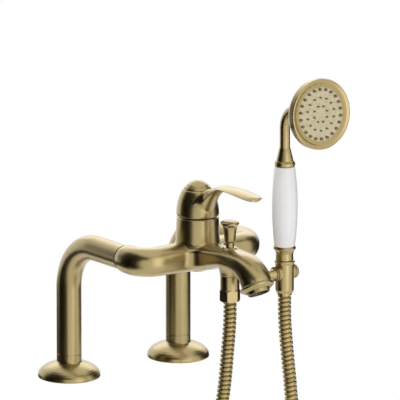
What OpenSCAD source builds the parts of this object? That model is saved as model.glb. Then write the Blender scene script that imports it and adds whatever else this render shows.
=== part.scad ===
// Deck-mounted bath and shower mixer on two legs, with a single lever, a pull-up diverter,
// a swivel cradle and a hand shower on a ribbed metal hose.
// X runs from the hot leg to the cold leg, the spout points along -Y, and Z is up.
// The origin is midway between the two legs, on the bath rim.

/* [Layout] */
// Distance between the two inlet legs
inlet_pitch = 150; // [140:1:170]
// Height of the level pipes and of the body above the rim
pipe_height = 157; // [150:1:170]
// Forward reach of the legs, up to the body
pipe_reach = 105; // [95:1:112]
// Forward reach of the lever column
column_reach = 140; // [138:1:146]
// Forward reach of the diverter and of the hose outlet below it
diverter_reach = 200; // [198:1:202]
// Forward reach of the spout's mouth
mouth_reach = 251; // [248:1:254]
// How far the spout's mouth lies below the level pipes' axis
mouth_drop = 16; // [13:1:19]
// Tilt of the mouth away from straight down
mouth_tilt = 30; // [26:1:34]
// Sideways place of the hand shower
holder_side = 48; // [46:1:50]
// Forward reach of the hand shower
holder_reach = 236; // [234:1:238]
// How far the cradle's swivel lies below the level pipes' axis
holder_drop = 8; // [6:1:10]

/* [Feet and legs] */
// Radius of the domed foot
foot_r = 35; // [30:1:40]
// Height of the foot's dome
foot_dome = 18.5; // [16:0.5:22]
// Height of the foot's collar, where the pipe starts
foot_collar = 27; // [25:1:32]
// Radius of the foot's threaded hole
foot_thread_r = 9.3; // [8:0.1:10]
// Depth of the foot's threaded hole
foot_thread_depth = 20; // [12:1:24]
// Thickness of the rubber washer below a foot
foot_seal_t = 2.5; // [2:0.1:3]
// Outer radius of the leg pipes
pipe_r = 14; // [13.5:0.1:15]
// Wall of the leg pipes
pipe_wall = 1.5; // [1:0.1:2]
// Bend radius of the leg pipes
bend_r = 54; // [45:1:60]
// Length of the spigots that hold a pipe's two ends
spigot_len = 18; // [14:1:22]

/* [Body] */
// Radius of the body's inlet ends
inlet_r = 16; // [15.8:0.1:17]
// Bend radius of the body's two elbows
elbow_r = 20; // [18:0.1:20.5]
// Half height of the arms at the column
arm_mid_r = 17.2; // [17:0.1:19]
// Half depth of the arms at the column, front to back
arm_mid_depth = 17.6; // [17.2:0.1:18.5]
// Radius of the sockets for the pipe unions
socket_r = 11; // [10:0.1:12]
// Depth of those sockets
socket_depth = 15; // [13:0.5:16]
// Radius of the waterways in the arms
waterway_r = 8; // [6:0.1:8.2]
// Radius of the column at its foot
column_foot_r = 24.5; // [24.2:0.1:24.8]
// Radius of the column at its top
column_top_r = 23.3; // [23:0.1:23.5]
// Height of the column's top over the level pipes' axis
column_rise = 44.5; // [44:0.5:45]
// Chamfer of the column's top edge
column_chamfer = 1.5; // [1.2:0.1:1.8]

/* [Cartridge] */
// Radius of the ceramic cartridge
cartridge_r = 17.5; // [17:0.1:18]
// Height of the cartridge's seat over the level pipes' axis
seat_rise = 11; // [10.5:0.5:11.5]
// Height of the cartridge
cartridge_h = 27; // [26.5:0.5:27.5]
// Depth of the lever's pivot pin below the cartridge's top
pivot_depth = 7; // [6.5:0.5:7.5]
// Width of the square lever stem
stem_w = 7; // [6:0.1:7.4]

/* [Lever] */
// Largest radius of the lever's domed hub
hub_r = 23.7; // [23.5:0.1:24.2]
// Gap between the column and the hub
hub_gap = 0.9; // [0.9:0.1:1.4]
// Height of the hub's dome above its rim
hub_dome = 39; // [38:0.5:42]
// Inner radius of the hub's rim
hub_bore_r = 22.2; // [22.1:0.1:22.4]
// Height of the cap's seam above the hub's rim
cap_seam = 29.5; // [29:0.5:31]
// Reach of the lever from the column's axis
lever_len = 110.5; // [102:0.5:116]
// Widest half width of the lever's leaf
lever_half_w = 12.5; // [10:0.5:14]

/* [Diverter] */
// Radius of the diverter's bore in the spout
diverter_bore_r = 8.3; // [8:0.1:8.6]
// Radius of the diverter rod
rod_r = 2.5; // [2:0.1:3]
// Radius of the knob's cap
knob_r = 10.2; // [9:0.1:12]
// Height of the knob
knob_h = 25; // [22:0.5:28]

/* [Hose outlet] */
// Radius of the hose outlet
outlet_r = 10.6; // [10:0.1:11.5]
// How far the outlet's lower shoulder lies below the level pipes' axis
outlet_drop = 27; // [25:0.5:28]
// Radius of the outlet's thread
outlet_thread_r = 8.2; // [7.8:0.1:8.2]
// Width across flats of the hose nut
nut_flats = 20.5; // [19.5:0.5:22]
// Height of the hose nut
nut_h = 14; // [13:0.5:16]

/* [Mouth] */
// Radius of the spout's neck at the mouth
neck_r = 17; // [16:0.1:18]
// Radius of the bead round the mouth
bead_r = 19.3; // [18.5:0.1:20.5]
// Radius of the aerator's thread
aerator_r = 14; // [13:0.1:14.5]
// Length of the aerator's shell
aerator_h = 11; // [9:0.5:12]
// How far the aerator stands out of the mouth
aerator_drop = 6; // [4:0.5:8]

/* [Cradle] */
// Outer radius of the cradle's top
cradle_top_r = 11.2; // [10.8:0.1:12.5]
// Outer radius of the cradle's foot
cradle_foot_r = 10.2; // [10:0.1:10.7]
// Height of the cradle
cradle_h = 36; // [33:1:38]
// Radius of the cradle's tapered bore at its top
cradle_bore_top_r = 8.8; // [8.6:0.1:9]
// Radius of the cradle's tapered bore at its foot
cradle_bore_foot_r = 8.2; // [8.1:0.1:8.4]
// Radius of the swivel's flange and button
swivel_r = 8; // [7:0.1:9.5]
// Radius of the swivel's pin
swivel_pin_r = 2; // [1.6:0.1:2.4]

/* [Hand shower] */
// Length of the ceramic handle
handle_len = 89.5; // [80:0.5:95]
// Radius of the handle's ends
handle_end_r = 11.3; // [10.5:0.1:12]
// Radius of the handle's middle
handle_mid_r = 14.2; // [12.5:0.1:15.5]
// Radius of the water tube in the handle
core_r = 6.3; // [5.5:0.1:6.8]
// Radius of the bent neck
neck_tube_r = 5.7; // [5.4:0.1:6.2]
// Bend radius of the neck
neck_bend_r = 24; // [20:0.5:28]
// Radius of the shower rose
rose_r = 39; // [36:0.5:45]
// Rise of the neck from the handle's top to its bend
neck_rise = 43; // [40:0.5:60]
// Straight run of the neck from its bend to the rose
neck_run = 21.5; // [20:0.1:35]
// Angle from upright to the rose's facing direction
rose_tilt = 85; // [82:1:88]
// Radius of the outer ring of nozzles
nozzle_reach = 27.2; // [24:0.1:28.5]
// Inner radius of the band round the spray plate
rose_band_r = 33.4; // [30.5:0.1:34]

/* [Hose] */
// Radius of the hose over its ribs
hose_r = 7.5; // [6.5:0.1:7.6]
// Radius of the hose between its ribs
hose_groove_r = 6.6; // [6:0.1:7]
// Radius of the hose's bore
hose_bore_r = 4.6; // [3.5:0.1:5]
// Rib pitch of the hanging stretches
rib_pitch = 5; // [4.5:0.5:8]
// Ribs on the coil
coil_ribs = 106; // [40:1:110]
// Outer radius of the coil, at the middle of its tube
coil_r = 75; // [70:1:80]
// Height of the coil's centre, below the rim
coil_height = -120; // [-130:1:-115]
// Spacing of the coil's turns in one layer
coil_pitch = 18; // [17.5:0.1:20]
// Spacing of the coil's two layers
coil_layer = 16; // [16:0.1:18]

/* [Clearances] */
// Clearance of sliding and turning fits
run_gap = 0.05; // [0.02:0.01:0.1]
// Clearance between parts that move past each other
move_gap = 0.3; // [0.25:0.05:0.5]
// Clearance round seals and loose pieces
seal_gap = 0.1; // [0.05:0.05:0.2]

/* [Hidden] */
$fn = 64;
eps = 0.01;
brass = [0.45, 0.34, 0.2];
steel = [0.68, 0.66, 0.6];
rubber = [0.09, 0.09, 0.09];
plastic = [0.85, 0.84, 0.8];
ceramic = [0.93, 0.91, 0.86];

inlet_x = inlet_pitch / 2;
mouth_height = pipe_height - mouth_drop;
holder_height = pipe_height - holder_drop;
column_top = pipe_height + column_rise;
cartridge_seat = pipe_height + seat_rise;
cartridge_top = cartridge_seat + cartridge_h;
lever_pivot = cartridge_top - pivot_depth;
outlet_shoulder = pipe_height - outlet_drop;
pipe_bore_r = pipe_r - pipe_wall;
spigot_r = pipe_bore_r - run_gap;
spigot_bore_r = 7.5;
ring_r = 0.9;
ring_seat = 1.2;
foot_rim = 1.8;
foot_seal_in = foot_r * 0.57;
foot_seal_out = foot_r - 2.2;
bend_start = pipe_height - bend_r;
elbow_y = column_reach - elbow_r;
elbow_x = inlet_x - elbow_r;
grub_r = 2;
grub_y = pipe_reach + 11;
hot_port_x = 10.5;
mix_port_y = 9;
port_r = 3;
nut_outer_r = cartridge_r + 2.1;
nut_seat = cartridge_top;
body_floor = pipe_height - arm_mid_r - 0.9;
body_round = pipe_height + 11;
spout_root = column_reach + 20;
spout_top = pipe_height + 19;
spout_mid = pipe_height + 8;
spout_half_w = 17.5;
spout_thin = 11;
hub_rim = column_top + hub_gap;
hub_top = hub_rim + hub_dome;
hub_wide = hub_rim + 1.2;
hub_rim_r = hub_r - 0.4;
cap_z = hub_rim + cap_seam;
cap_plug_r = 6;
boss_r = 7.5;
boss_floor = hub_rim + 3.6;
stem_top = boss_floor + 14;
bush_flange = spout_top + 1.6;
bush_top = bush_flange + 5;
knob_floor = bush_top + 0.5;
valve_floor = spout_mid - spout_thin - 2;
outlet_top = valve_floor - 6.5;
thread_len = 9;
nut_floor = outlet_shoulder - nut_h;
cradle_top = holder_height + 14;
cradle_floor = cradle_top - cradle_h;
arm_start = spout_half_w + 1.5;
flange_face = holder_side - 12;
pad_face = flange_face + move_gap;
button_face = holder_side + 11.2;
ferrule_floor = cradle_top + move_gap;
handle_floor = ferrule_floor + 16.2;
handle_top = handle_floor + handle_len;
collar_bead = handle_top + 6.4;
rose_depth = 22;
neck_turn = rose_tilt;
neck_bend_z = handle_top + neck_rise;
rose_stem = neck_run + rose_depth;
rose_reach = holder_reach + neck_bend_r * (1 - cos(neck_turn)) + rose_stem * sin(neck_turn);
rose_height = neck_bend_z + neck_bend_r * sin(neck_turn) + rose_stem * cos(neck_turn);
cone_floor = cradle_floor - 3;

// The hose hangs in the upright plane through its outlet and the cradle: each route point is
// the distance along that plane from its middle, the distance behind it, and the height.
outlet_route = [[-30, 0, nut_floor], [-30, 0, 100], [-31, 0, 80], [-33, 0, 55], [-35, 0, 30],
    [-38, 0, 5], [-42, -2, -15], [-49, -4, -35], [-59, -6, -55], [-68, -7, -72],
    [-coil_r, -coil_layer / 2, coil_height + 30], [-coil_r, -coil_layer / 2, coil_height + 15]];
handset_top_route = [[30, 0, cone_floor], [30, 0, 105], [30.5, 0, 90], [32, 0, 70], [34, 0, 48], [36, 0, 28]];
handset_low_route = [[36, 0, 28], [38, 0, 5], [42, 2, -15],
    [49, 4, -35], [59, 6, -55], [68, 7, -72],
    [coil_r, coil_layer / 2, coil_height + 30], [coil_r, coil_layer / 2, coil_height + 15]];
outlet_xy = [0, -diverter_reach];
cradle_xy = [holder_side, -holder_reach];
hang_mid = (outlet_xy + cradle_xy) / 2;
hang_dir = (cradle_xy - outlet_xy) / norm(cradle_xy - outlet_xy);
hang_back = [-hang_dir.y, hang_dir.x];
hose_sides = 8;
coil_rings_per_turn = 24;
coil_turns = 2.5;
coil_end = 15;
end_gap = 0.2;

// Points, rings and tubes
function hang(p) = let (q = hang_mid + p.x * hang_dir + p.y * hang_back) [q.x, q.y, p.z];
function spline_at(p, i, t) =
    let (n = len(p) - 1, a = p[max(i - 1, 0)], b = p[i], c = p[i + 1], d = p[min(i + 2, n)])
    0.5 * (2 * b + (c - a) * t + (2 * a - 5 * b + 4 * c - d) * t * t
        + (3 * b - a - 3 * c + d) * t * t * t);
function spline(p, steps) =
    [for (i = [0 : len(p) - 2]) for (k = [0 : steps - 1]) spline_at(p, i, k / steps), p[len(p) - 1]];
function lengths(p, i = 1, total = [0]) =
    i == len(p) ? total : lengths(p, i + 1, concat(total, [total[i - 1] + norm(p[i] - p[i - 1])]));
function place_in(total, s, lo, hi) =
    hi - lo <= 1 ? lo
    : let (mid = floor((lo + hi) / 2)) total[mid] > s ? place_in(total, s, lo, mid)
    : place_in(total, s, mid, hi);
function along(p, total, s) =
    let (i = place_in(total, s, 0, len(p) - 1), t = (s - total[i]) / (total[i + 1] - total[i]))
    p[i] + (p[i + 1] - p[i]) * t;
function unit(v) = v / norm(v);
function heading(p, total, s) =
    let (n = len(total) - 1, e = 0.5)
    unit(along(p, total, min(s + e, total[n])) - along(p, total, max(s - e, 0)));
function ring_at(c, t, r, sides) =
    let (b = unit([hang_back.x, hang_back.y, 0] - ([hang_back.x, hang_back.y, 0] * t) * t), n = cross(b, t))
    [for (k = [0 : sides - 1]) let (a = 360 * (k + 0.5) / sides) c + r * (cos(a) * b + sin(a) * n)];

// Closed solid through a list of rings with equal counts of points
module skin(rings) {
    n = len(rings[0]);
    m = len(rings);
    walls = [for (i = [0 : m - 2]) for (k = [0 : n - 1])
        let (a = i * n + k, b = i * n + (k + 1) % n)
        each [[a, b, b + n], [a, b + n, a + n]]];
    lids = [for (k = [1 : n - 2]) each [[0, k + 1, k], [(m - 1) * n, (m - 1) * n + k, (m - 1) * n + k + 1]]];
    polyhedron(points = [for (r = rings) each r], faces = [for (f = concat(walls, lids)) [f.z, f.y, f.x]]);
}

// Tube with a bore: ribbed rings outside, plain rings inside
module ribbed_tube(path, ribs, bore_rings) {
    total = lengths(path);
    run = total[len(total) - 1];
    n = hose_sides;
    outer = [for (i = [0 : 2 * ribs])
        let (s = end_gap + (run - 2 * end_gap) * i / (2 * ribs))
        ring_at(along(path, total, s), heading(path, total, s), i % 2 == 0 ? hose_groove_r : hose_r, n)];
    inner = [for (i = [0 : bore_rings])
        let (s = end_gap + (run - 2 * end_gap) * i / bore_rings)
        ring_at(along(path, total, s), heading(path, total, s), hose_bore_r, n)];
    mo = len(outer);
    mi = len(inner);
    base = mo * n;
    out_walls = [for (i = [0 : mo - 2]) for (k = [0 : n - 1])
        let (a = i * n + k, b = i * n + (k + 1) % n) each [[a, b, b + n], [a, b + n, a + n]]];
    in_walls = [for (i = [0 : mi - 2]) for (k = [0 : n - 1])
        let (a = base + i * n + k, b = base + i * n + (k + 1) % n) each [[a, b + n, b], [a, a + n, b + n]]];
    ends = [for (k = [0 : n - 1])
        let (j = (k + 1) % n, p = (mo - 1) * n, q = base + (mi - 1) * n)
        each [[k, base + j, j], [k, base + k, base + j], [p + k, p + j, q + j], [p + k, q + j, q + k]]];
    polyhedron(points = [for (r = concat(outer, inner)) each r],
        faces = [for (f = concat(out_walls, in_walls, ends)) [f.z, f.y, f.x]]);
}

// Section of an ellipse, drawn out sideways and cut to two flat faces by the share flat
face_bulge = 1.23;
function cut_flat(x) = x / pow(1 + pow(abs(x), 16), 1 / 16);
function section(half_w, half_h, flat, sides) =
    [for (k = [0 : sides - 1])
        let (a = 360 * k / sides, c = cos(a), s = sin(a))
        [half_w * (c + flat * (cut_flat(face_bulge * c) - c)), half_h * s]];
// Section set across the middle plane at a forward reach and a height, its top leaning forward
function station(reach, z, half_w, half_h, flat, lean, sides) =
    [for (p = section(half_w, half_h, flat, sides))
        [p.x, -reach - p.y * sin(lean), z + p.y * cos(lean)]];

module tube(r_out, r_in, h) {
    difference() {
        cylinder(r = r_out, h = h);
        translate([0, 0, -eps]) cylinder(r = r_in, h = h + 2 * eps);
    }
}
module o_ring(r) { rotate_extrude() translate([r, 0]) circle(ring_r, $fn = 24); }
// Sets a shape's Z axis along -Y, its base at a pipe's height on one side
module at_inlet(side, reach) { translate([side * inlet_x, -reach, pipe_height]) rotate([90, 0, 0]) children(); }
module at_column(z) { translate([0, -column_reach, z]) children(); }
module at_diverter(z) { translate([0, -diverter_reach, z]) children(); }
// Sets a shape's Z axis up into the spout from its mouth
module at_mouth() { translate([0, -mouth_reach, mouth_height]) rotate([-mouth_tilt, 0, 0]) children(); }
module at_cradle(z) { translate([holder_side, -holder_reach, z]) children(); }
// Sets a shape's Z axis along X on the swivel's axis
module at_swivel(x) { translate([x, -holder_reach, holder_height]) rotate([0, 90, 0]) children(); }
module at_rose() { translate([holder_side, -rose_reach, rose_height]) rotate([rose_tilt, 0, 0]) children(); }

// Domed foot with its collar, the spigot inside the pipe and the threaded inlet
foot_groove_z = foot_collar + spigot_len / 2;
seam_h = 0.9;
seam_depth = 0.7;
module foot(side) {
    shoulder = acos((pipe_r + 0.5) / foot_r);
    dome = [for (a = [0 : shoulder / 8 : shoulder + 0.01])
        [foot_r * cos(a), foot_rim + (foot_dome - foot_rim) * sin(a)]];
    color(brass) translate([side * inlet_x, 0, 0]) difference() {
        rotate_extrude() polygon(concat([[0, 0], [foot_r - 0.6, 0], [foot_r, 0.6]],
            dome, [[pipe_r, foot_dome - 0.4], [pipe_r, foot_collar - seam_h], [pipe_r - seam_depth, foot_collar - seam_h],
            [pipe_r - seam_depth, foot_collar], [spigot_r, foot_collar],
            [spigot_r, foot_collar + spigot_len], [0, foot_collar + spigot_len]]));
        translate([0, 0, -eps]) cylinder(r = foot_thread_r, h = foot_thread_depth + eps);
        cylinder(r = spigot_bore_r, h = foot_collar + spigot_len + 1);
        translate([0, 0, -eps]) tube(foot_seal_out + seal_gap, foot_seal_in - seal_gap, foot_seal_t + eps);
        translate([0, 0, foot_groove_z - ring_seat])
            tube(spigot_r + 1, spigot_r - 2 * ring_r - seal_gap, 2 * ring_seat);
    }
}
module left_foot() { foot(-1); }
module right_foot() { foot(1); }
module foot_seal(side) {
    color(rubber) translate([side * inlet_x, 0, 0]) tube(foot_seal_out, foot_seal_in, foot_seal_t);
}
module left_foot_seal() { foot_seal(-1); }
module right_foot_seal() { foot_seal(1); }
module foot_o_rings() {
    color(rubber) for (side = [-1, 1])
        translate([side * inlet_x, 0, foot_groove_z]) o_ring(spigot_r - ring_r);
}

// Bent leg pipe, from the foot's collar to the body
module leg(side) {
    color(brass) translate([side * inlet_x, 0, 0]) {
        translate([0, 0, foot_collar]) tube(pipe_r, pipe_bore_r, bend_start - foot_collar);
        translate([0, -bend_r, bend_start]) rotate([90, 0, 90]) rotate_extrude(angle = 90)
            translate([bend_r, 0]) difference() { circle(pipe_r); circle(pipe_bore_r); }
        translate([0, -bend_r, pipe_height]) rotate([90, 0, 0])
            tube(pipe_r, pipe_bore_r, pipe_reach - bend_r);
    }
}
module left_leg() { leg(-1); }
module right_leg() { leg(1); }

// Stepped union between a pipe's end and the body's socket, with a seal on each side
union_in = spigot_len;
union_out = socket_depth - 1;
union_pipe_groove = pipe_reach - union_in / 2;
union_body_groove = pipe_reach + 5.5;
module union_piece(side) {
    color(brass) difference() {
        union() {
            at_inlet(side, pipe_reach - union_in) cylinder(r = spigot_r, h = union_in);
            at_inlet(side, pipe_reach) cylinder(r = socket_r - run_gap, h = union_out);
        }
        at_inlet(side, pipe_reach - union_in - 1) cylinder(r = spigot_bore_r, h = union_in + union_out + 2);
        at_inlet(side, union_pipe_groove - ring_seat)
            tube(spigot_r + 1, spigot_r - 2 * ring_r - seal_gap, 2 * ring_seat);
        at_inlet(side, union_body_groove - ring_seat)
            tube(socket_r + 1, socket_r - run_gap - 2 * ring_r - seal_gap, 2 * ring_seat);
        translate([side * inlet_x, -grub_y, pipe_height - socket_r - 1]) cylinder(r = grub_r + run_gap, h = 2.4);
    }
}
module left_union() { union_piece(-1); }
module right_union() { union_piece(1); }
module union_o_rings() {
    color(rubber) for (side = [-1, 1]) {
        at_inlet(side, union_pipe_groove) o_ring(spigot_r - ring_r);
        at_inlet(side, union_body_groove) o_ring(socket_r - run_gap - ring_r);
    }
}
// Check valve inside a union: a sleeve with a spider that guides its poppet
module check_valve(side) {
    valve_len = 16;
    color(plastic) at_inlet(side, pipe_reach - valve_len / 2) {
        tube(spigot_bore_r - run_gap, spigot_bore_r - 2, valve_len);
        translate([0, 0, valve_len / 3]) for (a = [0, 60, 120])
            rotate([0, 0, a]) translate([-spigot_bore_r + 1.5, -0.6, 0]) cube([2 * spigot_bore_r - 3, 1.2, 4]);
        cylinder(r = 1.8, h = valve_len - 2);
        translate([0, 0, valve_len - 3]) cylinder(r = 4.4, h = 2);
    }
}
module hot_check_valve() { check_valve(-1); }
module cold_check_valve() { check_valve(1); }
module inlet_grub_screws() {
    color(steel) for (side = [-1, 1])
        translate([side * inlet_x, -grub_y, pipe_height - inlet_r + 0.5]) difference() {
            cylinder(r = grub_r, h = inlet_r - socket_r + 0.6);
            translate([0, 0, -eps]) cylinder(r = 1.1, h = 2, $fn = 6);
        }
}

// A narrow groove stays open between a pipe's end and the body
body_start = pipe_reach + 1.3;
// Cast body: two elbows, two tapered arms and the lever column over a round belly
module body_elbow(side) {
    at_inlet(side, body_start) cylinder(r1 = inlet_r - 2, r2 = inlet_r - 1, h = 2);
    at_inlet(side, body_start + 2) cylinder(r1 = inlet_r - 1, r2 = inlet_r, h = 6);
    at_inlet(side, body_start + 8) cylinder(r = inlet_r, h = max(0.5, elbow_y - body_start - 8));
    translate([side * elbow_x, -elbow_y, pipe_height]) rotate([0, 0, side > 0 ? -90 : 180])
        rotate_extrude(angle = 90) translate([elbow_r, 0]) circle(inlet_r);
}
// Arms from elbow to elbow: share of the way out, share of the swelling in depth and height, flatness
arm_stations = [[-1, 0, 0, 0], [-0.76, 0.15, 0.15, 0.8], [-0.45, 0.5, 0.45, 1], [-0.2, 0.9, 0.8, 1], [0, 1, 1, 1],
    [0.2, 0.9, 0.8, 1], [0.45, 0.5, 0.45, 1], [0.76, 0.15, 0.15, 0.8], [1, 0, 0, 0]];
function arm_ring(x, half_d, half_h, flat) = [for (p = section(half_d, half_h, flat, 28))
    [x, -column_reach + p.x, pipe_height + p.y]];
module body_arms() {
    r = inlet_r - 0.05;
    lap = arm_ring(elbow_x + 2, r - 0.5, r - 0.5, 0);
    skin(concat([[for (p = lap) [-p.x, p.y, p.z]]],
        [for (s = arm_stations)
            arm_ring(s[0] * elbow_x, r + s[1] * (arm_mid_depth - r), r + s[2] * (arm_mid_r - r), s[3])],
        [lap]));
}
// Short flare that carries the arms' front face round into the spout's flanks
module spout_flare() {
    skin([for (s = [[-2, 14, 2], [10, 11, 1], [16.4, 9, 0.3], [18, 6, 0.2], [20, 2.8, 0]])
        station(column_reach + s[0], pipe_height + 0.5, spout_half_w + s[1], 16 - s[2], 1, 0, 28)]);
}
module column_solid() {
    belly = [for (a = [0 : 15 : 90]) [9 + 17.6 * sin(a), body_round - (body_round - body_floor) * cos(a)]];
    at_column(0) rotate_extrude() polygon(concat([[0, body_floor]], belly,
        [[column_foot_r + 1.7, body_round + 2.4], [column_foot_r, body_round + 4.4],
        [column_foot_r - 0.3, body_round + 10],
        [column_top_r, column_top - column_chamfer], [column_top_r - column_chamfer, column_top], [0, column_top]]));
}
module body_casting() {
    color(brass) difference() {
        union() {
            body_elbow(-1);
            body_elbow(1);
            body_arms();
            spout_flare();
            column_solid();
        }
        // flat seat for the spout's root
        translate([-40, -spout_root - 40, body_floor - 5]) cube([80, 40, pipe_height + 16.5 - body_floor + 5]);
        for (side = [-1, 1]) {
            at_inlet(side, pipe_reach - 1) cylinder(r = socket_r, h = socket_depth + 1);
            at_inlet(side, pipe_reach) cylinder(r = waterway_r, h = column_reach - pipe_reach);
            translate([side * 7, -column_reach, pipe_height]) rotate([0, side * 90, 0])
                cylinder(r = waterway_r - 0.4, h = inlet_x - 7);
            at_column(pipe_height) translate([side * hot_port_x, 0, 0]) cylinder(r = port_r, h = 20);
            translate([side * inlet_x, -grub_y, pipe_height - inlet_r - 5])
                cylinder(r = grub_r + run_gap, h = inlet_r + 6 - socket_r);
        }
        at_column(pipe_height) translate([0, -mix_port_y, 0]) cylinder(r = port_r + 0.5, h = 20);
        translate([0, -column_reach - mix_port_y + 3, pipe_height]) rotate([90, 0, 0])
            cylinder(r = 5.5, h = 30);
        at_column(cartridge_seat) cylinder(r = cartridge_r + seal_gap, h = 60);
        at_column(nut_seat) cylinder(r = nut_outer_r + run_gap, h = 60);
    }
}

// Ceramic cartridge, from its seals up to the nut that holds it down
function ports() = [[-hot_port_x, 0, port_r], [hot_port_x, 0, port_r], [0, -mix_port_y, port_r + 0.5]];
seal_t = 1;
base_t = 4;
disc_t = 3;
base_top = cartridge_seat + base_t;
disc_top = base_top + disc_t;
slide_top = disc_top + 3.8;
module cartridge_seals() {
    color(rubber) at_column(cartridge_seat) for (p = ports())
        translate([p.x, p.y, 0]) tube(p.z + 1.6, p.z + 0.1, seal_t);
}
module cartridge_base() {
    color(plastic) at_column(cartridge_seat) difference() {
        cylinder(r = cartridge_r, h = base_t);
        for (p = ports()) translate([p.x, p.y, -eps]) {
            cylinder(r = p.z, h = base_t + 1);
            cylinder(r = p.z + 1.6 + seal_gap, h = seal_t + eps);
        }
    }
}
module fixed_disc() {
    color(ceramic) at_column(base_top) difference() {
        cylinder(r = cartridge_r - 2, h = disc_t);
        for (p = ports()) translate([p.x, p.y, -1]) cylinder(r = p.z, h = disc_t + 2);
    }
}
module moving_disc() {
    color(ceramic) at_column(disc_top + run_gap) difference() {
        cylinder(r = cartridge_r - 5, h = slide_top - disc_top - run_gap);
        translate([0, 0, -eps]) cylinder(r = 6, h = 1.6);
    }
}
carrier_r = cartridge_r - 3.7;
carrier_top = cartridge_top - 2 - move_gap;
module cartridge_housing() {
    color(plastic) at_column(0) rotate_extrude() polygon([[cartridge_r - 1.9, base_top], [cartridge_r, base_top],
        [cartridge_r, cartridge_top], [11.3, cartridge_top], [11.3, cartridge_top - 2],
        [carrier_r + run_gap, cartridge_top - 2], [carrier_r + run_gap, slide_top - 0.2],
        [cartridge_r - 1.9, slide_top - 0.2]]);
}
// Turning carrier that the stem tilts in
module lever_carrier() {
    color(plastic) difference() {
        at_column(slide_top) cylinder(r = carrier_r, h = carrier_top - slide_top);
        at_column(slide_top - 1) cylinder(r = 6.6, h = 40);
        at_column(lever_pivot - 2) cylinder(r1 = 6.6, r2 = 9.2, h = carrier_top - lever_pivot + 2 + eps);
        at_column(lever_pivot) rotate([0, 90, 0]) cylinder(r = 1.5, h = 60, center = true);
    }
}
module lever_pin() {
    color(steel) at_column(lever_pivot) rotate([0, 90, 0])
        cylinder(r = 1.5 - run_gap, h = 2 * carrier_r - 1, center = true);
}
module lever_stem() {
    color(steel) difference() {
        union() {
            at_column(lever_pivot) sphere(r = 5.6);
            at_column(lever_pivot) translate([-stem_w / 2, -stem_w / 2, 0])
                cube([stem_w, stem_w, stem_top - lever_pivot]);
            at_column(lever_pivot - 8) cylinder(r = 2, h = 8);
        }
        at_column(lever_pivot) rotate([0, 90, 0]) cylinder(r = 1.5, h = 30, center = true);
    }
}
module cartridge_nut() {
    color(brass) at_column(nut_seat) difference() {
        cylinder(r = nut_outer_r, h = 4.5);
        translate([0, 0, -eps]) cylinder(r1 = 11.6, r2 = 14, h = 4.6);
    }
}

// Lever: domed hub over the column, with a leaf-shaped handle growing out of its front
hub_profile = [for (a = [0 : 9 : 90]) [hub_r * cos(a), hub_wide + (hub_top - hub_wide) * sin(a)]];
function hub_radius(z) = hub_r * sqrt(max(0, 1 - pow((z - hub_wide) / (hub_top - hub_wide), 2)));
// Leaf of the lever: share of its reach, height over the hub's rim, share of its half width, half thickness.
// Its first stations flare out inside the hub, so that it leaves the dome in a fillet.
leaf = [[0.072, 14.6, 1.58, 13], [0.127, 17.2, 1.28, 12.4], [0.154, 19.6, 1.02, 11.8], [0.172, 21.2, 0.9, 11],
    [0.19, 22.6, 0.82, 10.4], [0.226, 25.5, 0.74, 8.6], [0.271, 29.2, 0.7, 6.6], [0.326, 33.2, 0.69, 4.9],
    [0.389, 36.9, 0.71, 3.9], [0.46, 39.4, 0.78, 3.5], [0.56, 40.7, 0.9, 3.2], [0.69, 40.8, 1, 3],
    [0.824, 39.8, 0.99, 2.8], [0.918, 38.9, 0.85, 2.5], [0.973, 38.4, 0.56, 2], [1, 38.2, 0.21, 1]];
// Lens-shaped ring of the leaf, with a thin rim at each side
function leaf_ring(reach, z, half_w, half_h) = [for (k = [0 : 19])
    let (a = 18 * k, c = cos(a), s = sin(a)) [half_w * c, -reach, z + half_h * s * sqrt(abs(s))]];
module lever() {
    color(brass) difference() {
        union() {
            at_column(0) rotate_extrude() intersection() {
                polygon(concat([[0, hub_rim], [hub_rim_r, hub_rim]], hub_profile));
                square([60, cap_z]);
            }
            skin([for (s = leaf)
                leaf_ring(column_reach + s[0] * lever_len, hub_rim + s[1], s[2] * lever_half_w, s[3])]);
        }
        at_column(0) rotate_extrude() polygon([[boss_r, hub_rim - 1], [hub_bore_r, hub_rim - 1],
            [hub_bore_r, hub_rim], [hub_bore_r - 1.2, hub_rim + 9], [13, hub_rim + 21], [boss_r, hub_rim + 21]]);
        at_column(hub_rim - 1) cylinder(r = boss_r + 1, h = boss_floor - hub_rim + 1);
        at_column(boss_floor - 1) translate([-stem_w / 2 - run_gap, -stem_w / 2 - run_gap, 0])
            cube([stem_w + 2 * run_gap, stem_w + 2 * run_gap, stem_top - boss_floor + 1 + seal_gap]);
        at_column(lever_grub_z) rotate([-90, 0, 0]) cylinder(r = grub_r + 0.5 + run_gap, h = 40);
        at_column(cap_z - 4) cylinder(r = cap_plug_r + run_gap, h = 20);
        // room over the cap's seam for the cap
        at_column(cap_z) cylinder(r = hub_radius(cap_z) + move_gap, h = 40);
        cap_groove(cap_z);
    }
}
lever_grub_z = boss_floor + 7;
module lever_grub_screw() {
    color(steel) at_column(lever_grub_z) rotate([-90, 0, 0]) translate([0, 0, stem_w / 2]) difference() {
        cylinder(r = grub_r + 0.5, h = boss_r - stem_w / 2 - 0.2);
        translate([0, 0, 1]) cylinder(r = 1.3, h = 10, $fn = 6);
    }
}
module cap_groove(z) { at_column(z) rotate_extrude() translate([hub_radius(z) + 0.1, 0]) circle(0.55, $fn = 24); }
module lever_cap() {
    color(brass) difference() {
        at_column(0) {
            rotate_extrude() intersection() {
                polygon(concat([[0, hub_rim]], hub_profile));
                translate([0, cap_z]) square([60, 60]);
            }
            translate([0, 0, cap_z - 3.6]) cylinder(r = cap_plug_r, h = 3.6 + 1);
        }
        cap_groove(cap_z);
        cap_groove(cap_z + 3.4);
    }
}

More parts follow.
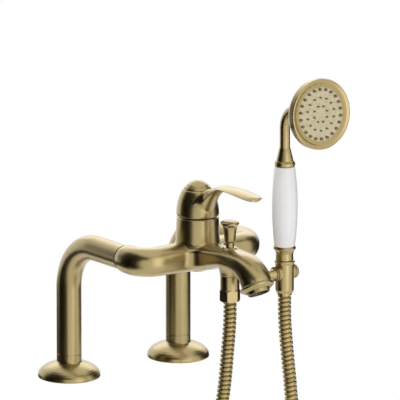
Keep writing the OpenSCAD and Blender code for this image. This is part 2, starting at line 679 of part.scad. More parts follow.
// Spout: soft rectangle at the body, thin over the outlet, round at its mouth
function arch(t, a, b) = a + (b - a) * t;
spout_drop = spout_mid - mouth_height;
spout_throw = mouth_reach - diverter_reach;
// Share of the way to the mouth, share of the drop, half height, lean
spout_bend = [[0.28, 0.02, spout_thin + 0.6, 12], [0.55, 0.1, 13, 28], [0.78, 0.33, 14.8, 43],
    [0.93, 0.65, 16.4, 54]];
function spout_rings(sides) = concat(
    [station(spout_root, pipe_height + 0.5, spout_half_w + 2.8, 16, 1, 0, sides),
     station(spout_root + 5, pipe_height + 1.4, spout_half_w + 0.2, 15.2, 1, 0, sides),
     station(spout_root + 11, pipe_height + 3, spout_half_w, 14.2, 1, 0, sides),
     station(arch(0.5, spout_root, diverter_reach), arch(0.65, pipe_height, spout_mid),
        spout_half_w, 13, 0.95, 0, sides),
     station(diverter_reach, spout_mid, spout_half_w, spout_thin, 0.8, 2, sides)],
    [for (s = spout_bend) station(diverter_reach + s[0] * spout_throw, spout_mid - s[1] * spout_drop,
        spout_half_w - 0.4, s[2], 0.35, s[3], sides)],
    [station(mouth_reach, mouth_height, neck_r, neck_r, 0, 90 - mouth_tilt, sides)]);
function spout_way(r, sides) = concat(
    [station(spout_root - 1, pipe_height, 5.5, 5.5, 0, 0, sides),
     station(arch(0.5, spout_root, diverter_reach), arch(0.65, pipe_height, spout_mid), r, r, 0, 0, sides),
     station(diverter_reach, spout_mid, r, r, 0, 2, sides)],
    [for (s = spout_bend)
        station(diverter_reach + s[0] * spout_throw, spout_mid - s[1] * spout_drop, r, r, 0, s[3], sides)]);
bead_h = 5;
module spout() {
    color(brass) difference() {
        union() {
            skin(spout_rings(28));
            at_mouth() rotate_extrude() polygon([[0, -0.8], [bead_r - 1.6, -0.8], [bead_r, 0.6],
                [bead_r, bead_h - 2.2], [bead_r - 1.4, bead_h - 0.8], [0, bead_h - 0.8]]);
            at_diverter(outlet_top) cylinder(r1 = outlet_r + 0.2, r2 = outlet_r + 3, h = spout_mid - outlet_top);
            at_diverter(spout_mid) cylinder(r1 = diverter_bore_r + 6, r2 = diverter_bore_r + 1.6, h = spout_thin);
            translate([0, -holder_reach, holder_height]) rotate([0, 90, 0]) cylinder(r = 4.6, h = arm_start);
        }
        skin(spout_way(7, 16));
        at_mouth() translate([0, 0, -2]) cylinder(r = aerator_r + run_gap, h = aerator_h + 2.4);
        at_mouth() cylinder(r = aerator_r - 3.5, h = aerator_h + 5);
        at_diverter(valve_floor) cylinder(r = diverter_bore_r, h = 60);
        at_diverter(outlet_top - 1) cylinder(r = outlet_thread_r + run_gap, h = valve_floor - outlet_top + 1 - 1.2);
        at_diverter(outlet_top) cylinder(r = 5, h = 20);
        translate([arm_start - 9, -holder_reach, holder_height]) rotate([0, 90, 0])
            cylinder(r = swivel_pin_r + run_gap, h = 20);
    }
}

// Diverter: a bush in the spout's top guides the rod, with a double washer below and a knob above
bush_floor = spout_mid + 5;
rod_floor = valve_floor + 1.4;
module diverter_bush() {
    color(brass) at_diverter(0) difference() {
        union() {
            translate([0, 0, bush_floor]) cylinder(r = diverter_bore_r - run_gap, h = spout_top - bush_floor);
            translate([0, 0, spout_top]) cylinder(r1 = diverter_bore_r + 0.9, r2 = 7, h = bush_flange - spout_top);
            translate([0, 0, bush_flange]) cylinder(r = 4.6, h = bush_top - bush_flange);
        }
        cylinder(r = rod_r + run_gap, h = 400);
        translate([0, 0, bush_floor + 3]) cylinder(r = rod_r + 2 * ring_r + seal_gap + run_gap, h = 2 * ring_seat);
    }
}
module diverter_o_ring() {
    color(rubber) at_diverter(bush_floor + 3 + ring_seat) o_ring(rod_r + run_gap + seal_gap + ring_r);
}
module diverter_rod() {
    color(steel) at_diverter(0) {
        translate([0, 0, rod_floor]) cylinder(r = rod_r, h = knob_floor + 12 - rod_floor);
        translate([0, 0, rod_floor + 1.6]) cylinder(r = diverter_bore_r - 1, h = 1.4);
    }
}
module diverter_washers() {
    color(rubber) at_diverter(0) {
        translate([0, 0, rod_floor]) tube(diverter_bore_r - 1.2, rod_r + run_gap, 1.6);
        translate([0, 0, rod_floor + 3]) tube(diverter_bore_r - 1.2, rod_r + run_gap, 1.6);
    }
}
module diverter_knob() {
    brim = knob_h - 4.4;
    color(brass) at_diverter(knob_floor) difference() {
        rotate_extrude() polygon(concat([[0, 0], [5.2, 0], [5.9, 1.6], [6.3, knob_h * 0.2], [6.8, knob_h * 0.41],
            [7.3, knob_h * 0.58], [knob_r - 2.3, brim - 2.8], [knob_r - 1.3, brim - 1.2], [knob_r - 0.1, brim]],
            [for (a = [0 : 15 : 90]) [knob_r * cos(a), brim + 1 + (knob_h - brim - 1) * sin(a)]]));
        translate([0, 0, -eps]) cylinder(r = rod_r + run_gap, h = 12.2);
    }
}

// Hose outlet under the diverter, with the hose's swivel nut and its seal
module shower_outlet() {
    color(brass) at_diverter(0) difference() {
        union() {
            translate([0, 0, outlet_shoulder - thread_len]) cylinder(r = outlet_thread_r, h = thread_len);
            translate([0, 0, outlet_shoulder]) cylinder(r = outlet_r, h = outlet_top - outlet_shoulder);
            translate([0, 0, outlet_top]) cylinder(r = outlet_thread_r, h = valve_floor - outlet_top - 1.4);
        }
        cylinder(r = 5, h = 400);
    }
}
washer_t = 2;
washer_floor = outlet_shoulder - thread_len - washer_t;
module hose_washer() { color(rubber) at_diverter(washer_floor) tube(outlet_thread_r - 0.2, 4.8, washer_t); }
module hose_nut() {
    color(brass) at_diverter(nut_floor) difference() {
        intersection() {
            rotate([0, 0, 40]) cylinder(r = nut_flats / sqrt(3), h = nut_h, $fn = 6);
            rotate_extrude() polygon([[0, 0], [nut_flats / 2 - 0.6, 0], [nut_flats / 2 + 1.4, 1.6],
                [nut_flats / 2 + 1.4, nut_h - 1.4], [nut_flats / 2 - 0.2, nut_h], [0, nut_h]]);
        }
        translate([0, 0, washer_floor - nut_floor]) cylinder(r = outlet_thread_r + run_gap, h = nut_h);
        translate([0, 0, -1]) cylinder(r = sleeve_r + run_gap, h = 20);
    }
}
sleeve_r = 6.4;
module hose_nut_sleeve() {
    color(brass) at_diverter(nut_floor) {
        tube(sleeve_r, hose_bore_r, washer_floor - nut_floor);
    }
}

// Aerator in the mouth
module aerator_seal() {
    color(rubber) at_mouth() translate([0, 0, aerator_h - 1.2]) tube(aerator_r - 0.2, 10.6, 1.5);
}
module aerator_shell() {
    color(brass) at_mouth() difference() {
        union() {
            translate([0, 0, -0.8]) cylinder(r = aerator_r, h = aerator_h - 0.4);
            translate([0, 0, -aerator_drop]) cylinder(r1 = aerator_r - 1.4, r2 = aerator_r - 0.8, h = aerator_drop);
        }
        translate([0, 0, -aerator_drop - 1]) cylinder(r = aerator_r - 2.4, h = 40);
    }
}
module aerator_insert() {
    color(plastic) at_mouth() translate([0, 0, 2.4 - aerator_drop]) difference() {
        cylinder(r = aerator_r - 2.4 - run_gap, h = aerator_h - 1.2 - 2.4 + aerator_drop);
        for (ring = [1 : 3]) for (k = [0 : 6 * ring - 1])
            rotate([0, 0, 360 * k / (6 * ring)]) translate([3.3 * ring, 0, -1]) cylinder(r = 1.1, h = 30, $fn = 16);
    }
}

// Swivel cradle on the spout's flank
module holder_arm() {
    color(brass) difference() {
        at_swivel(arm_start) {
            cylinder(r1 = 3.8, r2 = 6, h = flange_face - arm_start - 2);
            translate([0, 0, flange_face - arm_start - 2]) cylinder(r = swivel_r, h = 2 - washer_gap);
        }
        at_swivel(arm_start - 1) cylinder(r = swivel_pin_r + run_gap, h = 60);
    }
}
washer_gap = 1;
module holder_pin() {
    color(steel) at_swivel(arm_start - 8) cylinder(r = swivel_pin_r, h = pad_face + 2 - arm_start + 8);
}
module holder_washer() {
    color(rubber) at_swivel(flange_face - washer_gap) tube(swivel_r - 0.4, swivel_pin_r + run_gap, washer_gap);
}
module holder() {
    color(brass) difference() {
        union() {
            at_cradle(0) rotate_extrude() polygon([[0, cradle_floor], [cradle_foot_r - 0.8, cradle_floor],
                [cradle_foot_r, cradle_floor + 3], [cradle_foot_r + 0.1, cradle_top - 4],
                [cradle_top_r - 0.3, cradle_top - 2.4],
                [cradle_top_r, cradle_top - 1.6], [cradle_top_r, cradle_top - 0.5], [cradle_top_r - 0.5, cradle_top],
                [0, cradle_top]]);
            at_swivel(pad_face) cylinder(r = swivel_r, h = 4);
            at_swivel(holder_side + 6) cylinder(r = swivel_r - 1, h = button_face - holder_side - 6);
        }
        at_cradle(cradle_floor - eps)
            cylinder(r1 = cradle_bore_foot_r, r2 = cradle_bore_top_r, h = cradle_h + 2 * eps);
        at_swivel(pad_face - 1) cylinder(r = swivel_pin_r + run_gap, h = 3.2);
        at_swivel(holder_side) cylinder(r = 2, h = 30);
    }
}
module holder_button() {
    color(brass) at_swivel(button_face) {
        rotate_extrude() polygon([[0, 0], [swivel_r - 0.8, 0], [swivel_r, 0.8], [swivel_r, 2], [swivel_r - 1, 3.4],
            [swivel_r - 3.5, 4.4], [0, 4.9]]);
        translate([0, 0, -2]) cylinder(r = 2 - run_gap, h = 2.5);
    }
}

// Hand shower: the hose's cone, a flared ferrule, the ceramic handle on its water tube,
// a collar, the bent neck and the rose
module hose_cone() {
    color(brass) at_cradle(0) difference() {
        union() {
            translate([0, 0, cone_floor]) cylinder(r = cradle_bore_foot_r - move_gap, h = cradle_floor - cone_floor);
            translate([0, 0, cradle_floor]) cylinder(r1 = cradle_bore_foot_r - move_gap,
                r2 = cradle_bore_top_r - move_gap, h = cradle_h);
            translate([0, 0, cradle_top]) cylinder(r = cradle_bore_top_r - move_gap, h = ferrule_floor - cradle_top);
        }
        translate([0, 0, cone_floor - 1]) cylinder(r = hose_bore_r, h = 60);
    }
}
module handset_ferrule() {
    h = handle_floor - ferrule_floor;
    color(brass) at_cradle(ferrule_floor) difference() {
        rotate_extrude() polygon([[0, 0], [9.2, 0], [9.6, 0.6], [9.4, 8.2], [10.2, 9], [10.4, 10.4],
            [12.3, 13], [12.5, 14.2],
            [12, h - 1], [handle_end_r, h], [0, h]]);
        translate([0, 0, -1]) cylinder(r = hose_bore_r, h = 40);
        translate([0, 0, 4]) cylinder(r = core_r + run_gap, h = 40);
    }
}
module handset_handle() {
    half = handle_len / 2;
    profile = [for (i = [0 : 12]) let (t = i / 6 - 1)
        [handle_end_r + (handle_mid_r - handle_end_r) * pow(cos(90 * t), 0.9), half + half * t]];
    color(ceramic) at_cradle(handle_floor) difference() {
        rotate_extrude() polygon(concat([[0, 0]], profile, [[0, handle_len]]));
        translate([0, 0, -1]) cylinder(r = core_r + seal_gap, h = handle_len + 2);
    }
}
module handset_core() {
    color(steel) at_cradle(ferrule_floor + 4) tube(core_r, core_r - 1.3, collar_bead - ferrule_floor);
}
module handset_collar() {
    color(brass) at_cradle(handle_top) difference() {
        rotate_extrude() polygon([[0, 0], [handle_end_r - 0.8, 0], [handle_end_r, 1.4], [handle_end_r, 4.6],
            [handle_end_r - 1.2, 6.2], [9.6, 6.4], [9.2, 8], [neck_tube_r + 0.5, 20.4],
            [neck_tube_r + 0.5, 20.9], [0, 20.9]]);
        translate([0, 0, -1]) cylinder(r = core_r + run_gap, h = 11.6 + seal_gap);
        translate([0, 0, -1]) cylinder(r = neck_tube_r - 1.4, h = 60);
        translate([0, 0, 13]) cylinder(r = neck_tail_r + run_gap, h = 60);
    }
}
neck_tail_r = neck_tube_r + 0.02;
module handset_neck() {
    start = handle_top + 13;
    color(brass) {
        // both straight ends lap the bend by a hair, a little thicker on both sides
        at_cradle(start) tube(neck_tail_r, neck_tube_r - 1.32, neck_bend_z - start + 0.3);
        translate([holder_side, -holder_reach - neck_bend_r, neck_bend_z]) rotate([90, 0, 90])
            rotate_extrude(angle = neck_turn) translate([neck_bend_r, 0]) difference() {
                circle(neck_tube_r);
                circle(neck_tube_r - 1.3);
            }
        at_rose() translate([0, 0, -rose_depth - neck_run - 0.3])
            tube(neck_tail_r, neck_tube_r - 1.32, neck_run + 1.8);
    }
}
plate_r = rose_r - 3.2;
plate_back = -4;
mat_t = 1.2;
module rose_shell() {
    color(brass) at_rose() difference() {
        rotate_extrude() polygon([[0, -rose_depth], [8.4, -rose_depth], [9.4, -rose_depth + 1],
            [11.5, -rose_depth + 2.4],
            [rose_r * 0.6, -17], [rose_r * 0.85, -12.6], [rose_r - 1.2, -8], [rose_r, -5], [rose_r, -1.6],
            [plate_r + seal_gap, -1.6], [plate_r + seal_gap, -7], [rose_r * 0.8, -10], [rose_r * 0.56, -14.2],
            [11, -17.4],
            [0, -17.4]]);
        translate([0, 0, -rose_depth - 1]) cylinder(r = neck_tail_r + run_gap, h = 2.6);
        translate([0, 0, -rose_depth - 1]) cylinder(r = neck_tube_r - 1.3, h = 20);
    }
}
module rose_seal() {
    color(rubber) at_rose() translate([0, 0, plate_back - mat_t - ring_r]) o_ring(plate_r - 1.2);
}
nozzle_counts = [8, 14, 22];
nozzle_radii = [1, 1, 1.6];
// Place of each nozzle on the plate, and its radius
function nozzles() = [for (ring = [0 : 2]) for (k = [0 : nozzle_counts[ring] - 1])
    let (a = 360 * (k + 0.4) / nozzle_counts[ring], reach = nozzle_reach * (ring + 1) / 3)
    [reach * cos(a), reach * sin(a), nozzle_radii[ring]]];
module nozzle_mat() {
    color(rubber) at_rose() {
        translate([0, 0, plate_back - mat_t]) cylinder(r = plate_r - 0.4, h = mat_t);
        for (n = nozzles()) translate([n.x, n.y, plate_back - eps])
            cylinder(r = n.z, h = -plate_back + 1.4, $fn = 16);
    }
}
module spray_plate() {
    color(steel) at_rose() translate([0, 0, plate_back]) difference() {
        cylinder(r = plate_r, h = -plate_back);
        for (n = nozzles()) translate([n.x, n.y, -1]) cylinder(r = n.z + seal_gap, h = 20, $fn = 16);
    }
}
module rose_ring() {
    color(brass) at_rose() rotate_extrude() polygon([[rose_band_r, 0], [plate_r + seal_gap, 0],
        [plate_r + seal_gap, -1.6],
        [rose_r, -1.6], [rose_r, 0.6], [rose_r - 0.5, 1.5], [rose_r - 1.5, 1.8], [rose_r - 2.6, 1.4],
        [rose_band_r + 1.2, 0.8]]);
}

// Ribbed hose: two hanging stretches and a coil of two layers, tied at its lowest point
hang_steps = 6;
outlet_path = spline([for (p = outlet_route) hang(p)], hang_steps);
handset_top_path = spline([for (p = handset_top_route) hang(p)], hang_steps);
handset_low_path = spline([for (p = handset_low_route) hang(p)], hang_steps);
function run_of(path) = let (t = lengths(path)) t[len(t) - 1];
// Turns counted from the outlet's side: one spirals in, a half turn changes layer, one spirals out
function coil_radius(u) = u < 1 ? coil_r - coil_pitch * u : u < 1.5 ? coil_r - coil_pitch
    : coil_r - coil_pitch * (2.5 - u);
function coil_depth(u) = coil_layer * (min(max(u - 1, 0), 0.5) * 2 - 0.5);
function coil_point(u) =
    hang([-coil_radius(u) * cos(360 * u), coil_depth(u), coil_height - coil_radius(u) * sin(360 * u)]);
coil_loops = [for (i = [0 : coil_turns * coil_rings_per_turn]) coil_point(i / coil_rings_per_turn)];
coil_path = concat([hang([-coil_r, -coil_layer / 2, coil_height + coil_end])], coil_loops,
    [hang([coil_r, coil_layer / 2, coil_height + coil_end])]);
coil_clear = min([for (i = [0 : len(coil_loops) - 1]) for (j = [i + 12 : 1 : len(coil_loops) - 1])
    norm(coil_loops[i] - coil_loops[j])]) - 2 * hose_r;
echo(coil_least_gap = coil_clear);
echo(hose_length = run_of(outlet_path) + run_of(handset_top_path) + run_of(handset_low_path) + run_of(coil_path));
module hose_run(path) {
    run = run_of(path);
    color(steel) ribbed_tube(path, round(run / rib_pitch), max(4, round(run / 12)));
}
module hose_outlet_run() { hose_run(outlet_path); }
module hose_handset_top() { hose_run(handset_top_path); }
module hose_handset_low() { hose_run(handset_low_path); }
module hose_coil() { color(steel) ribbed_tube(coil_path, coil_ribs, 60); }

// Band round the three strands at the coil's lowest point
tie_w = 12;
tie_t = 1.4;
tie_strands = [for (u = [0.25, 1.25, 2.25]) [coil_depth(u), -coil_radius(u)]];
module tie_outline(grow) {
    hull() for (p = tie_strands) translate(p) circle(hose_r + grow, $fn = 32);
}
module coil_tie() {
    color(rubber) translate([hang_mid.x, hang_mid.y, coil_height])
        rotate([90, 0, atan2(hang_back.y, hang_back.x)])
        linear_extrude(tie_w, center = true) difference() {
            tie_outline(move_gap + 0.3 + tie_t);
            tie_outline(move_gap + 0.3);
        }
}

left_foot();
right_foot();
left_foot_seal();
right_foot_seal();
foot_o_rings();
left_leg();
right_leg();
left_union();
right_union();
union_o_rings();
hot_check_valve();
cold_check_valve();
inlet_grub_screws();
body_casting();
cartridge_seals();
cartridge_base();
fixed_disc();
moving_disc();
cartridge_housing();
lever_carrier();
lever_pin();
lever_stem();
cartridge_nut();
lever();
lever_cap();
lever_grub_screw();
spout();
diverter_bush();
diverter_o_ring();
diverter_rod();
diverter_washers();
diverter_knob();
shower_outlet();
hose_washer();
hose_nut();
hose_nut_sleeve();
aerator_seal();
aerator_shell();
aerator_insert();
holder_arm();
holder_pin();
holder_washer();
holder();
holder_button();
hose_cone();
handset_ferrule();
handset_handle();
handset_core();
handset_collar();
handset_neck();
rose_shell();
rose_seal();
nozzle_mat();
spray_plate();
rose_ring();
hose_outlet_run();
hose_coil();
hose_handset_low();
hose_handset_top();
coil_tie();
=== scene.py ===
"""Bath shower mixer on two legs in aged brass, with a hand shower on a ribbed metal hose."""

import math

import bmesh
import bpy
from mathutils import Matrix, Vector

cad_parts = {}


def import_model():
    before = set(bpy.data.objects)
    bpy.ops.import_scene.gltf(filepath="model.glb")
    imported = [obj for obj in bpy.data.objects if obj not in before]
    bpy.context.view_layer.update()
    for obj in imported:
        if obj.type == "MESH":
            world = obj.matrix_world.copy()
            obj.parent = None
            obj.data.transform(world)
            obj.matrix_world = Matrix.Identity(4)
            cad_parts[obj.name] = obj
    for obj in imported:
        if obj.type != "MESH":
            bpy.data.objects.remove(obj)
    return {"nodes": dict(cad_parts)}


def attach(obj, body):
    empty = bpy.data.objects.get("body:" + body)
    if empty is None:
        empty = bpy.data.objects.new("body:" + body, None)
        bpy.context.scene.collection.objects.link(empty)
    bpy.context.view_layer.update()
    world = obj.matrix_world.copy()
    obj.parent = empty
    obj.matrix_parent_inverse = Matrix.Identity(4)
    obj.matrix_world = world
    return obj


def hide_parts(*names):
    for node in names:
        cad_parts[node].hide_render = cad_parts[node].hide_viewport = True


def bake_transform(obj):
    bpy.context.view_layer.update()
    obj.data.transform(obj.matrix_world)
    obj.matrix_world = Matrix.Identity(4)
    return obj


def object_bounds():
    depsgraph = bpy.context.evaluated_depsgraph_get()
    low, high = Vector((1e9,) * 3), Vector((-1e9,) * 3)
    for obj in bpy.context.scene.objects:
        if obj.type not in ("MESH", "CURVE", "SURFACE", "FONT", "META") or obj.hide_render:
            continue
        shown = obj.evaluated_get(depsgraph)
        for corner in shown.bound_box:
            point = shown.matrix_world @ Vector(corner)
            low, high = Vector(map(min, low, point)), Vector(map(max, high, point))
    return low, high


bpy.ops.wm.read_factory_settings(use_empty=True)
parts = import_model()["nodes"]
cad_low, cad_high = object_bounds()

# The picture: a long lens far off, a little above the mixer and to the left of its spout.
# It sees the mixer from its feet to the top of the shower rose.
scene = bpy.context.scene
scene.view_settings.view_transform = "Standard"
aim = Vector((0, -0.1443, 0.2195))
toward_camera = Vector((-0.5729, -0.7842, 0.2385)).normalized()
camera_distance = 10
seen_width = 0.4403
camera = bpy.data.objects.new("camera", bpy.data.cameras.new("camera"))
camera.data.sensor_width = 36
camera.data.lens = camera.data.sensor_width * camera_distance / seen_width
camera.data.clip_end = 100
camera.location = aim + camera_distance * toward_camera
camera.rotation_euler = toward_camera.to_track_quat("Z", "Y").to_euler()
scene.collection.objects.link(camera)
scene.camera = camera


# The hose: an interlocked metal strip, wound in a long screw round a rubber tube.
# It hangs from the outlet's nut to a tied coil of spare length, and from there up to the cone in
# the cradle. A route point says how far it is along and behind the hang's upright plane, and how high.
class Socket:
    """A socket of a node tree. Sums and products of sockets add Math nodes."""

    def __init__(self, tree, socket=None):
        self.tree = tree
        self.socket = socket

    def node(self, kind, settings, inputs, output=0):
        made = self.tree.nodes.new(kind)
        for key, value in settings.items():
            setattr(made, key, value)
        for key, value in inputs.items():
            if isinstance(value, Socket):
                self.tree.links.new(value.socket, made.inputs[key])
            else:
                made.inputs[key].default_value = value
        return Socket(self.tree, made.outputs[output] if made.outputs else None)

    def sum_of(self, operation, first, second):
        return self.node("ShaderNodeMath", {"operation": operation}, {0: first, 1: second})

    def __add__(self, other):
        return self.sum_of("ADD", self, other)

    def __sub__(self, other):
        return self.sum_of("SUBTRACT", self, other)

    def __mul__(self, other):
        return self.sum_of("MULTIPLY", self, other)

    def __radd__(self, other):
        return self.sum_of("ADD", other, self)

    def __rsub__(self, other):
        return self.sum_of("SUBTRACT", other, self)

    def __rmul__(self, other):
        return self.sum_of("MULTIPLY", other, self)

    def mixed(self, low, high):
        """Colour from low to high, by this value."""
        return self.node("ShaderNodeMix", {"data_type": "RGBA"}, {0: self, 6: (*low, 1), 7: (*high, 1)}, 2)


def finish_of(name, surface, settings):
    """New material; surface gives its varying inputs, settings its plain ones."""
    made = bpy.data.materials.new(name)
    made.use_nodes = True
    made.node_tree.nodes.clear()
    start = Socket(made.node_tree)
    inputs = {**settings, **surface(start)}
    shader = start.node("ShaderNodeBsdfPrincipled", {}, inputs)
    start.node("ShaderNodeOutputMaterial", {}, {"Surface": shader})
    return made


def grained(dark, bright, rough, smooth, patch, grit, relief):
    """Surface whose tone and gloss drift over patches, with a fine relief of grit. Sizes in metres."""
    def surface(start):
        place = start.node("ShaderNodeTexCoord", {}, {}, "Object")
        cloud = start.node("ShaderNodeTexNoise", {}, {"Vector": place, "Scale": 1 / patch, "Detail": 3})
        worn = start.node("ShaderNodeMapRange", {}, {"Value": cloud, "From Min": 0.3, "From Max": 0.7})
        fine = start.node("ShaderNodeTexNoise", {}, {"Vector": place, "Scale": 1 / grit, "Detail": 2})
        bump = start.node("ShaderNodeBump", {}, {"Height": fine, "Strength": 1, "Distance": relief})
        return {"Base Color": worn.mixed(dark, bright), "Roughness": rough - (rough - smooth) * worn,
                "Normal": bump}
    return surface


brass_grain = grained(dark=(0.42, 0.328, 0.139), bright=(0.47, 0.361, 0.155), rough=0.34, smooth=0.3,
                      patch=0.033, grit=0.0006, relief=0.000003)
lacquered = {"Metallic": 1, "Coat Weight": 0.8, "Coat Roughness": 0.25}
hose_metal = finish_of("hose_strip", brass_grain, lacquered)


def new_piece(name, vertices, faces, material, crease=40):
    """Mesh object with smooth faces, sharp where they meet at more than crease degrees."""
    mesh = bpy.data.meshes.new(name)
    mesh.from_pydata(vertices, [], faces)
    work = bmesh.new()
    work.from_mesh(mesh)
    bmesh.ops.recalc_face_normals(work, faces=work.faces)
    work.to_mesh(mesh)
    work.free()
    mesh.shade_smooth()
    mesh.set_sharp_from_angle(angle=math.radians(crease))
    mesh.materials.append(material)
    piece = bpy.data.objects.new(name, mesh)
    scene.collection.objects.link(piece)
    return piece


def skin(rings, capped=True):
    """Vertices and faces of a surface through rings of equal counts."""
    sides = len(rings[0])
    vertices = [p for ring in rings for p in ring]
    faces = []
    for i in range(len(rings) - 1):
        for k in range(sides):
            a, b = i * sides + k, i * sides + (k + 1) % sides
            faces.append((a, b, b + sides, a + sides))
    if capped:
        faces.append(tuple(range(sides)))
        faces.append(tuple(range(len(vertices) - sides, len(vertices))))
    return vertices, faces


def curve(a, b, c, d, t):
    """Value at the share t from b to c, on a smooth curve through a, b, c and d."""
    return 0.5 * (2 * b + (c - a) * t + (2 * a - 5 * b + 4 * c - d) * t * t
                  + (3 * b - a - 3 * c + d) * t * t * t)


def around(points, i):
    """The ends of step i and their neighbours."""
    return points[max(i - 1, 0)], points[i], points[i + 1], points[min(i + 2, len(points) - 1)]


def spline(points, steps):
    """Smooth line through the points, with that many steps between each two."""
    line = []
    for i in range(len(points) - 1):
        line += [curve(*around(points, i), k / steps) for k in range(steps)]
    line.append(points[-1])
    return line


MM = 0.001
hang_middle = Vector((24, -218, 0))
hang_along = Vector((0.8, -0.6, 0))
hang_behind = Vector((0.6, 0.8, 0))


def hang(along, behind, height):
    """Point of the hose's upright plane, in metres."""
    return (hang_middle + along * hang_along + behind * hang_behind + Vector((0, 0, height))) * MM


outlet_route = [(-30, 0, 116), (-30, 0, 100), (-31, 0, 80), (-33, 0, 55), (-35, 0, 30), (-38, 0, 5),
                (-42, -2, -15), (-49, -4, -35), (-59, -6, -55), (-68, -7, -72), (-75, -8, -90),
                (-75, -8, -105)]
low_route = [(36, 0, 28), (38, 0, 5), (42, 2, -15), (49, 4, -35), (59, 6, -55), (68, 7, -72), (75, 8, -90),
             (75, 8, -105)]
top_route = [(30, 0, 124), (30, 0, 105), (30.5, 0, 90), (32, 0, 70), (34, 0, 48), (36, 0, 28)]
route_steps = 8
coil_radius = 75
coil_pitch = 18
coil_layer = 16
coil_height = -120
coil_turns = 2.5
coil_steps = 60
# Radius over one turn of the strip: a deep groove, the wide fold, the lock's shallow step, the narrow fold
rib_outline = [5.1, 6.0, 7.2, 7.5, 7.4, 6.9, 7.4, 7.5, 7.2, 6.0]
rib_pitch = 5.08 * MM
rib_crease = 70
hose_sides = 20


def coil_point(turn):
    """One turn spirals in, a half turn changes layer, and one turn spirals out."""
    inward = turn if turn < 1 else min(1, coil_turns - turn)
    radius = coil_radius - coil_pitch * inward
    layer = coil_layer * (min(max(turn - 1, 0), 0.5) * 2 - 0.5)
    angle = 2 * math.pi * turn
    return hang(-radius * math.cos(angle), layer, coil_height - radius * math.sin(angle))


def walk(line, step):
    """Points a step apart along a line."""
    spots = [line[0]]
    left = step
    for a, b in zip(line, line[1:]):
        length = (b - a).length
        while length >= left:
            a = a + (b - a) * (left / length)
            length = (b - a).length
            spots.append(a)
            left = step
        left -= length
    spots.append(line[-1])
    return spots


def ribbed_hose(name, line):
    """Screw-ribbed tube along a line."""
    count = len(rib_outline)
    spots = walk(line, rib_pitch / count)
    rings = []
    for i, spot in enumerate(spots):
        ahead = (spots[min(i + 1, len(spots) - 1)] - spots[max(i - 1, 0)]).normalized()
        side = (hang_behind - hang_behind.dot(ahead) * ahead).normalized()
        across = side.cross(ahead)
        ring = []
        for k in range(hose_sides):
            angle = 2 * math.pi * k / hose_sides
            place = i + count * k / hose_sides
            before = rib_outline[int(place) % count]
            after = rib_outline[(int(place) + 1) % count]
            radius = MM * (before + (after - before) * (place % 1))
            ring.append(spot + radius * (math.cos(angle) * side + math.sin(angle) * across))
        rings.append(ring)
    return new_piece(name, *skin(rings), hose_metal, rib_crease)


def run_of(line):
    """Length of a line."""
    return sum((b - a).length for a, b in zip(line, line[1:]))


outlet_line = spline([hang(*p) for p in outlet_route], route_steps)
coil_line = [coil_point(i / coil_steps) for i in range(int(coil_turns * coil_steps) + 1)]
outlet_path = outlet_line + coil_line + [hang(*low_route[-1])]
low_line = spline([hang(*p) for p in low_route], route_steps)
top_line = spline([hang(*p) for p in top_route], route_steps)

outlet_hose = ribbed_hose("outlet_hose", outlet_path)
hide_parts("hose_outlet_run", "hose_coil")
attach(outlet_hose, "mixer")
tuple(outlet_path[0])
round(run_of(outlet_path), 3)

low_hose = ribbed_hose("low_hose", low_line)
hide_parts("hose_handset_low")
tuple(low_line[-1])
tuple(low_line[0])
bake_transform(low_hose)
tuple(low_line[-1])
round(run_of(low_line), 3)

top_hose = ribbed_hose("top_hose", top_line)
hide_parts("hose_handset_top")
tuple(top_line[-1])
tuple(top_line[0])
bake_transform(top_hose)
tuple(top_line[0])
round(run_of(top_line), 3)


# Feet, leg pipes and unions: turned and bent brass, brushed, darkened with age and lacquered.
# The pipes slip over spigots on the feet and on the unions, with rubber rings between.
aged_brass = finish_of("aged_brass", brass_grain, lacquered)


def wear(material, *names):
    """Gives CAD nodes a finish."""
    for name in names:
        for place in parts[name].material_slots:
            place.material = material


rubber_grain = grained(dark=(0.02, 0.02, 0.02), bright=(0.045, 0.045, 0.043), rough=0.7, smooth=0.5,
                       patch=0.004, grit=0.0005, relief=0.00003)
steel_grain = grained(dark=(0.5, 0.5, 0.48), bright=(0.66, 0.66, 0.64), rough=0.36, smooth=0.24,
                      patch=0.003, grit=0.0004, relief=0.000005)
black_rubber = finish_of("black_rubber", rubber_grain, {})
turned_steel = finish_of("turned_steel", steel_grain, {"Metallic": 1})
wear(aged_brass, "left_foot", "right_foot", "left_leg", "right_leg", "left_union", "right_union")
wear(black_rubber, "left_foot_seal", "right_foot_seal", "foot_o_rings", "union_o_rings")
wear(turned_steel, "inlet_grub_screws")


# Body and spout: one hollow brass casting. Two elbows turn in from the pipes, and the arms' faces
# flatten towards the lever column. The spout leaves their front in a fillet and ends in a round mouth.
pipe_height = 157
column_reach = 140
inlet_x = 75
inlet_start = 106.3
inlet_radius = 16
# How far on from the inlet's edge, and how much slimmer there
inlet_lip = [(0, 2.4), (0.1, 2), (2, 1), (5, 0.25), (9, 0)]
elbow_radius = 20
elbow_step = 6
arm_depth = 17.6
arm_height = 17.2
# Share of the way out from the column, share of the swelling in depth and height, flatness of the faces
arm_stations = [(0, 1, 1, 1), (0.2, 0.9, 0.8, 1), (0.45, 0.5, 0.45, 1), (0.76, 0.15, 0.15, 0.9),
                (1, 0, 0, 0.5)]
arm_steps = 24
face_bulge = 1.23
corner_power = 16
section_sides = 64
unit_circle = [(math.cos(2 * math.pi * k / section_sides), math.sin(2 * math.pi * k / section_sides))
               for k in range(section_sides)]


def cut_flat(wide):
    """A distance out, held back to 1 with a small round at the corner."""
    return wide / (1 + abs(wide) ** corner_power) ** (1 / corner_power)


def section(half_width, half_height, flat):
    """Outline of an ellipse, drawn out sideways and cut to two flat faces by the share flat."""
    return [(half_width * (c + flat * (cut_flat(face_bulge * c) - c)), half_height * s)
            for c, s in unit_circle]


